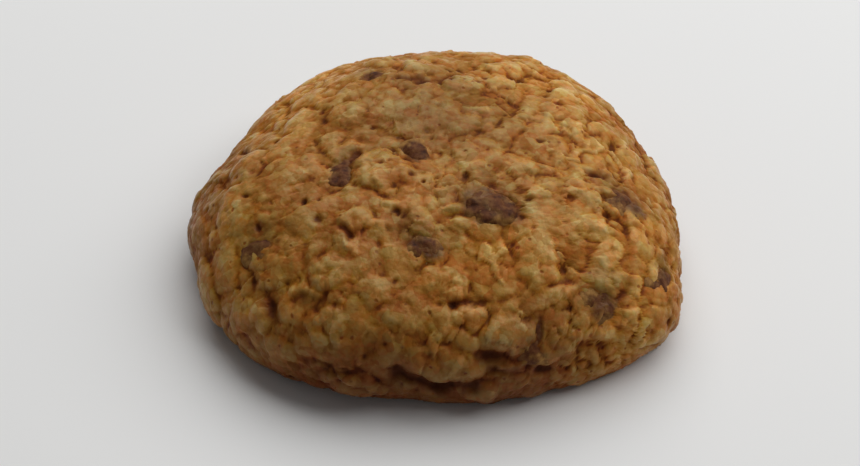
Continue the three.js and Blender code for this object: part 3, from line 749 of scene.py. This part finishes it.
def scaled(tree, socket, weight):
    """A socket times a weight, which may be another socket."""
    return add_node(tree, "ShaderNodeMath", {0: socket, 1: weight}, operation="MULTIPLY").outputs[0]


def attribute(tree, name):
    """The numbers that the piece's mesh carries under that name."""
    return add_node(tree, "ShaderNodeAttribute", attribute_name=name).outputs["Fac"]


def ramp(tree, share, stops):
    """Colours along a scale from 0 to 1, blended in straight lines between the stops."""
    made = add_node(tree, "ShaderNodeValToRGB", {"Fac": share})
    scale = made.color_ramp.elements
    while len(scale) < len(stops):
        scale.new(0.5)
    for element, (position, colour) in zip(scale, stops):
        element.position = position
        element.color = colour
    return made.outputs["Color"]


def multiplied(tree, base, factors):
    """The base colour times a colour of factors."""
    values = {0: 1.0, 6: base, 7: factors}
    mix = add_node(tree, "ShaderNodeMix", values, data_type="RGBA", blend_type="MULTIPLY")
    return mix.outputs[2]


def stained(tree, base, share, factors):
    """The base colour, turned by a share to itself times a colour of factors."""
    return multiplied(tree, base, ramp(tree, share, [(0, (1, 1, 1, 1)), (1, factors)]))


CHOCOLATE_COLOURS = [(0.3, srgb(55, 24, 8)), (0.5, srgb(92, 50, 24)), (0.75, srgb(124, 83, 48))]
CHOCOLATE_FILM = srgb(136, 100, 56)


def chocolate(tree):
    """Dark chocolate gone dull, with a paler bloom and a film of dough in blotches."""
    bloom = noise(tree, 1.2 * MM, 4, 0.6, shift=23)
    film = step_up(tree, noise(tree, 2.4 * MM, 4, 0.6, shift=29), 0.5, 0.75)
    return tint(tree, scaled(tree, film, 0.6), ramp(tree, bloom, CHOCOLATE_COLOURS), CHOCOLATE_FILM)


DOUGH_COLOURS = [  # tone and colour, from the darkest hollows, deepened by painted shade, to the palest oats
    (0.05, srgb(80, 38, 2)),
    (0.30, srgb(131, 81, 20)),
    (0.50, srgb(164, 114, 50)),
    (0.70, srgb(186, 148, 90)),
    (0.95, srgb(212, 188, 146)),
]
HOLLOW_SHADE_FACTORS = [  # painted shade: what the colour is multiplied by, from a ridge to a deep hollow
    (0.0, (1.0, 1.0, 1.0, 1)),
    (0.5, (0.98, 0.89, 0.42, 1)),
    (1.0, (0.64, 0.44, 0.06, 1)),
]
HUE_FACTORS = [  # from a greenish yellow to a reddish brown
    (0.30, (0.95, 0.925, 0.66, 1)),
    (0.50, (1.0, 0.857, 0.55, 1)),
    (0.70, (1.08, 0.768, 0.43, 1)),
]
BROWNING_LIGHT_AND_SHADE_FACTORS = [  # from paler, as painted light, through neutral, to well browned and darker, as painted shade
    (0.0, (1.45, 1.50, 1.60, 1)),
    (0.5, (1.00, 1.00, 1.00, 1)),
    (1.0, (0.36, 0.23, 0.11, 1)),
]
PRICK_SHADE_FACTORS = (0.6, 0.36, 0.11, 1)
FLECK_AND_GLINT_FACTORS = (1.22, 1.28, 1.42, 1)
DULL_FACTORS = (0.6, 0.6, 0.49, 1)
FLAKE_FACTORS = (1.08, 1.14, 1.2, 1)
# The near-black brown of the cracks and pits: painted shade.
CRACK_SHADE_COLOUR = srgb(72, 30, 3)
CELL = 1.6 * MM
CELL_STRAY = 0.9 * MM
FINE_CELL = 0.8 * MM
FINE_CELL_STRAY = 0.5 * MM
PRICK_CELL = 1.9 * MM
PRICK_STRAY = 0.8 * MM
SUBSURFACE_DEPTH = 0.8 * MM
BUMP_HEIGHT = 0.4 * MM
material, tree, shader = paint("baked_dough")
coarse, flecks = cells(tree, CELL, CELL_STRAY)
fine, _ = cells(tree, FINE_CELL, FINE_CELL_STRAY)
hollow = attribute(tree, "hollow_fine")
# The tone falls in the fine and broad hollows: painted shade.
tone = weigh(
    tree,
    0.125,
    (coarse, -0.10),
    (fine, -0.07),
    (noise(tree, 7 * MM), 0.42),
    (noise(tree, 2.2 * MM, shift=3), 0.30),
    (noise(tree, 0.6 * MM, 3, shift=7), 0.15),
    (flecks["Red"], 0.18),
    (hollow, -0.38),
    (attribute(tree, "hollow_broad"), -0.2),
)
colour = ramp(tree, tone, DOUGH_COLOURS)
# The hollows turn darker and more orange: painted shade, warmed by light bounced between the crumbs.
colour = multiplied(tree, colour, ramp(tree, weigh(tree, 0.1, (hollow, 3.5)), HOLLOW_SHADE_FACTORS))
hue = weigh(
    tree,
    -0.45,
    (noise(tree, 3.0 * MM, 3, 0.6, shift=11), 0.7),
    (noise(tree, 0.7 * MM, 3, 0.6, shift=13), 0.8),
    (flecks["Green"], 0.4),
)
colour = multiplied(tree, colour, ramp(tree, hue, HUE_FACTORS))
# Tiny pits, dented by the bump and darkened: painted shade in the pits.
near, own = cells(tree, PRICK_CELL, PRICK_STRAY)
prick = scaled(tree, step_up(tree, near, 0.22, 0.08), step_up(tree, own["Red"], 0.55, 0.75))
colour = stained(tree, colour, prick, PRICK_SHADE_FACTORS)
# Small whitish specks: partly pale flecks of oat, partly painted glints.
fleck_and_glint = scaled(tree, step_up(tree, near, 0.26, 0.10), step_up(tree, own["Green"], 0.7, 0.9))
colour = stained(tree, colour, fleck_and_glint, FLECK_AND_GLINT_FACTORS)
# Darker where it is dull: painted shade round the chips, and a darker patch at the crown.
colour = stained(tree, colour, attribute(tree, "dull"), DULL_FACTORS)
# Browning towards the foot, with painted light and shade round the side.
browning_light_and_shade = weigh(tree, 0.5, (attribute(tree, "browned_lit_and_shaded"), 0.5))
colour = multiplied(tree, colour, ramp(tree, browning_light_and_shade, BROWNING_LIGHT_AND_SHADE_FACTORS))
colour = stained(tree, colour, attribute(tree, "flake"), FLAKE_FACTORS)
# Cracks and pits turn near-black brown: painted shade.
colour = tint(tree, scaled(tree, attribute(tree, "gap"), 0.8), colour, CRACK_SHADE_COLOUR)
stain = weigh(tree, -0.35, (attribute(tree, "stain"), 1.0), (noise(tree, 1.6 * MM, shift=31), 0.7))
colour = tint(tree, scaled(tree, step_up(tree, stain, 0.2, 0.95), 0.9), colour, chocolate(tree))
tree.links.new(colour, shader.inputs["Base Color"])
sheen = step_up(tree, tone, 0.3, 0.7)
roughness = weigh(tree, 0.55, (noise(tree, 0.8 * MM, shift=17), 0.5), (sheen, -0.45))
tree.links.new(roughness, shader.inputs["Roughness"])
shader.inputs["Specular IOR Level"].default_value = 0.16
shader.inputs["Subsurface Weight"].default_value = 0.35
shader.inputs["Subsurface Radius"].default_value = (1.0, 0.4, 0.12)
shader.inputs["Subsurface Scale"].default_value = SUBSURFACE_DEPTH
grain = weigh(
    tree,
    0.0,
    (noise(tree, 0.9 * MM, 3, 0.5, shift=19), 1.0),
    (coarse, -0.4),
    (fine, -0.2),
    (prick, -0.6),
)
bump = add_node(tree, "ShaderNodeBump", {"Height": grain, "Distance": BUMP_HEIGHT, "Strength": 0.4})
tree.links.new(bump.outputs[0], shader.inputs["Normal"])
crust.data.materials.append(material)

# The chocolate chips: drops of dark chocolate that softened in the oven and set again with a dull skin.
# Each lies on its side in a hollow of the dough, and the dough creeps up round it.
CHIP_ROWS = 40
CHIP_COLUMNS = 56
CHIP_ROUNDNESS = 0.7  # power of the cosine in the drop's radius
CHIP_TAPER = 0.2
CHIP_WIDEST = 1.02  # about the greatest radius that these two give
CHIP_DRAW = {"wobble": 91, "fine_wobble": 96}  # the purpose of each random draw
CHIP_WOBBLE = 0.7 * MM
WOBBLE_LENGTH = 4.0 * MM
FINE_WOBBLE_LENGTH = 1.4 * MM
FINE_WOBBLE_SHARE = 0.4
SLIVER_WIDTH = 2.0  # a chip that shows less width than this, in mm, lies deep in a crease
SLIVER_FILM = 0.45  # how much of the film of dough it has: less film shows it darker, partly as painted shade of its crease
FILM_COLOURS = [(0.3, srgb(112, 70, 30)), (0.7, srgb(168, 124, 66))]


def chip_surface(place, along, patch, rim):
    """A softened drop, turned about its length: as the angle goes from base to tip, the length follows its
    sine, and the radius is a power of its cosine that shrinks towards the tip. Small random waves make it
    uneven."""
    origin, axes = place_axes(place, along)
    middle = origin + axes[2] * (rim * MM + chip_back(patch, 0) - CHIP_SIZE[2] / 2)
    tilt = np.linspace(-np.pi / 2, np.pi / 2, CHIP_ROWS + 1)[1:-1, None]
    turn = np.linspace(0, 2 * np.pi, CHIP_COLUMNS, endpoint=False)[None]
    radius = np.cos(tilt) ** CHIP_ROUNDNESS * (1 - CHIP_TAPER * np.sin(tilt)) / CHIP_WIDEST
    rings = np.stack([np.sin(tilt) + 0 * turn, radius * np.cos(turn), radius * np.sin(turn)], -1)
    local = np.concatenate([rings.reshape(-1, 3), [[-1, 0, 0], [1, 0, 0]]]) * CHIP_SIZE / 2
    points = middle + local @ axes
    fine_waves = FINE_WOBBLE_SHARE * ripple(points, FINE_WOBBLE_LENGTH, CHIP_DRAW["fine_wobble"])
    wobble = CHIP_WOBBLE * (ripple(points, WOBBLE_LENGTH, CHIP_DRAW["wobble"]) + fine_waves)
    return points + unit(local @ axes) * wobble[:, None]


def drop_faces():
    """Squares round each pair of neighbouring rings, and a fan of triangles at either end."""
    ring = np.arange((CHIP_ROWS - 1) * CHIP_COLUMNS).reshape(-1, CHIP_COLUMNS)
    after = np.roll(ring, -1, axis=1)
    base = np.full(CHIP_COLUMNS, ring.size)
    tip = base + 1
    squares = np.stack([ring[:-1], ring[1:], after[1:], after[:-1]], -1).reshape(-1, 4)
    base_fan = np.stack([base, ring[0], after[0]], -1)
    tip_fan = np.stack([tip, after[-1], ring[-1]], -1)
    fans = np.concatenate([base_fan, tip_fan])
    return squares[:, ::-1].tolist() + fans[:, ::-1].tolist()


material, tree, shader = paint("dark_chocolate")
smear = weigh(tree, -1.02, (attribute(tree, "edge"), 0.6), (noise(tree, 1.8 * MM, 3, 0.6, shift=37), 2.0))
dough_film = ramp(tree, noise(tree, 0.9 * MM, 3, shift=41), FILM_COLOURS)
colour = tint(tree, step_up(tree, smear, 0.4, 1.1), chocolate(tree), dough_film)
tree.links.new(colour, shader.inputs["Base Color"])
dull = noise(tree, 1.2 * MM, 4, 0.6, shift=23)
tree.links.new(weigh(tree, 0.45, (dull, 0.3)), shader.inputs["Roughness"])
shader.inputs["Specular IOR Level"].default_value = 0.12
coarse, _ = cells(tree, CELL, CELL_STRAY)
grain = weigh(tree, 0.0, (dull, 1.0), (coarse, -1.0))
bump = add_node(tree, "ShaderNodeBump", {"Height": grain, "Distance": BUMP_HEIGHT, "Strength": 0.5})
tree.links.new(bump.outputs[0], shader.inputs["Normal"])
for node, (place, along, patch, rim) in CHIPS.items():
    points = chip_surface(place, along, patch, rim)
    chip = make_piece(f"{node}_chocolate", points, drop_faces(), node)
    offsets = oval_offsets(points, *place_axes(place, along), np.array(patch) * MM)
    # Sliver chips keep less of the pale film, so they read dark: partly the chocolate, partly painted shade
    # of the crease they lie in.
    film = SLIVER_FILM if patch[1] < SLIVER_WIDTH else 1
    set_attribute(chip, "edge", film * np.hypot(offsets[:, 0], offsets[:, 1]))
    chip.data.materials.append(material)


# The stage: a plain pale floor, with one soft light from above, behind and to the right.
# A faint even light from all round fills the shadows.
FLOOR_SIZE = 3
FLOOR_COLOUR = srgb(238, 238, 237)
KEY_PLACE = (0.24, 0.34, 0.64)
KEY_AIM = (0, 0, 0.01)
KEY_SIZE = (1.6, 0.8)
KEY_POWER = 9.1
FILL_STRENGTH = 0.12
bpy.ops.mesh.primitive_plane_add(size=FLOOR_SIZE)
floor = bpy.context.object
floor.name = "floor"
material, tree, shader = paint("pale_floor")
shader.inputs["Base Color"].default_value = FLOOR_COLOUR
shader.inputs["Roughness"].default_value = 0.9
floor.data.materials.append(material)
key_data = bpy.data.lights.new("key_light", "AREA")
key_data.shape = "RECTANGLE"
key_data.size, key_data.size_y = KEY_SIZE
key_data.energy = KEY_POWER
key_light = bpy.data.objects.new("key_light", key_data)
bpy.context.scene.collection.objects.link(key_light)
key_light.location = KEY_PLACE
key_light.rotation_euler = (Vector(KEY_AIM) - Vector(KEY_PLACE)).to_track_quat("-Z", "Y").to_euler()
world = bpy.data.worlds.new("studio")
world.use_nodes = True
world.node_tree.nodes["Background"].inputs["Color"].default_value = (1, 1, 1, 1)
world.node_tree.nodes["Background"].inputs["Strength"].default_value = FILL_STRENGTH
bpy.context.scene.world = world
bpy.context.scene.view_settings.view_transform = "Standard"

# The camera: a long lens close to the cookie, straight in front of it and looking down,
# so that the crown and the front side show alike.
ELEVATION = np.radians(43)
DISTANCE = 380 * MM
AIM = np.array([-0.46, -5.54, 8.0]) * MM
LENS = 98.8
camera_data = bpy.data.cameras.new("camera")
camera_data.lens = LENS
camera = bpy.data.objects.new("camera", camera_data)
bpy.context.scene.collection.objects.link(camera)
camera.location = AIM + DISTANCE * np.array([0, -np.cos(ELEVATION), np.sin(ELEVATION)])
camera.rotation_euler = (np.pi / 2 - ELEVATION, 0, 0)
bpy.context.scene.camera = camera
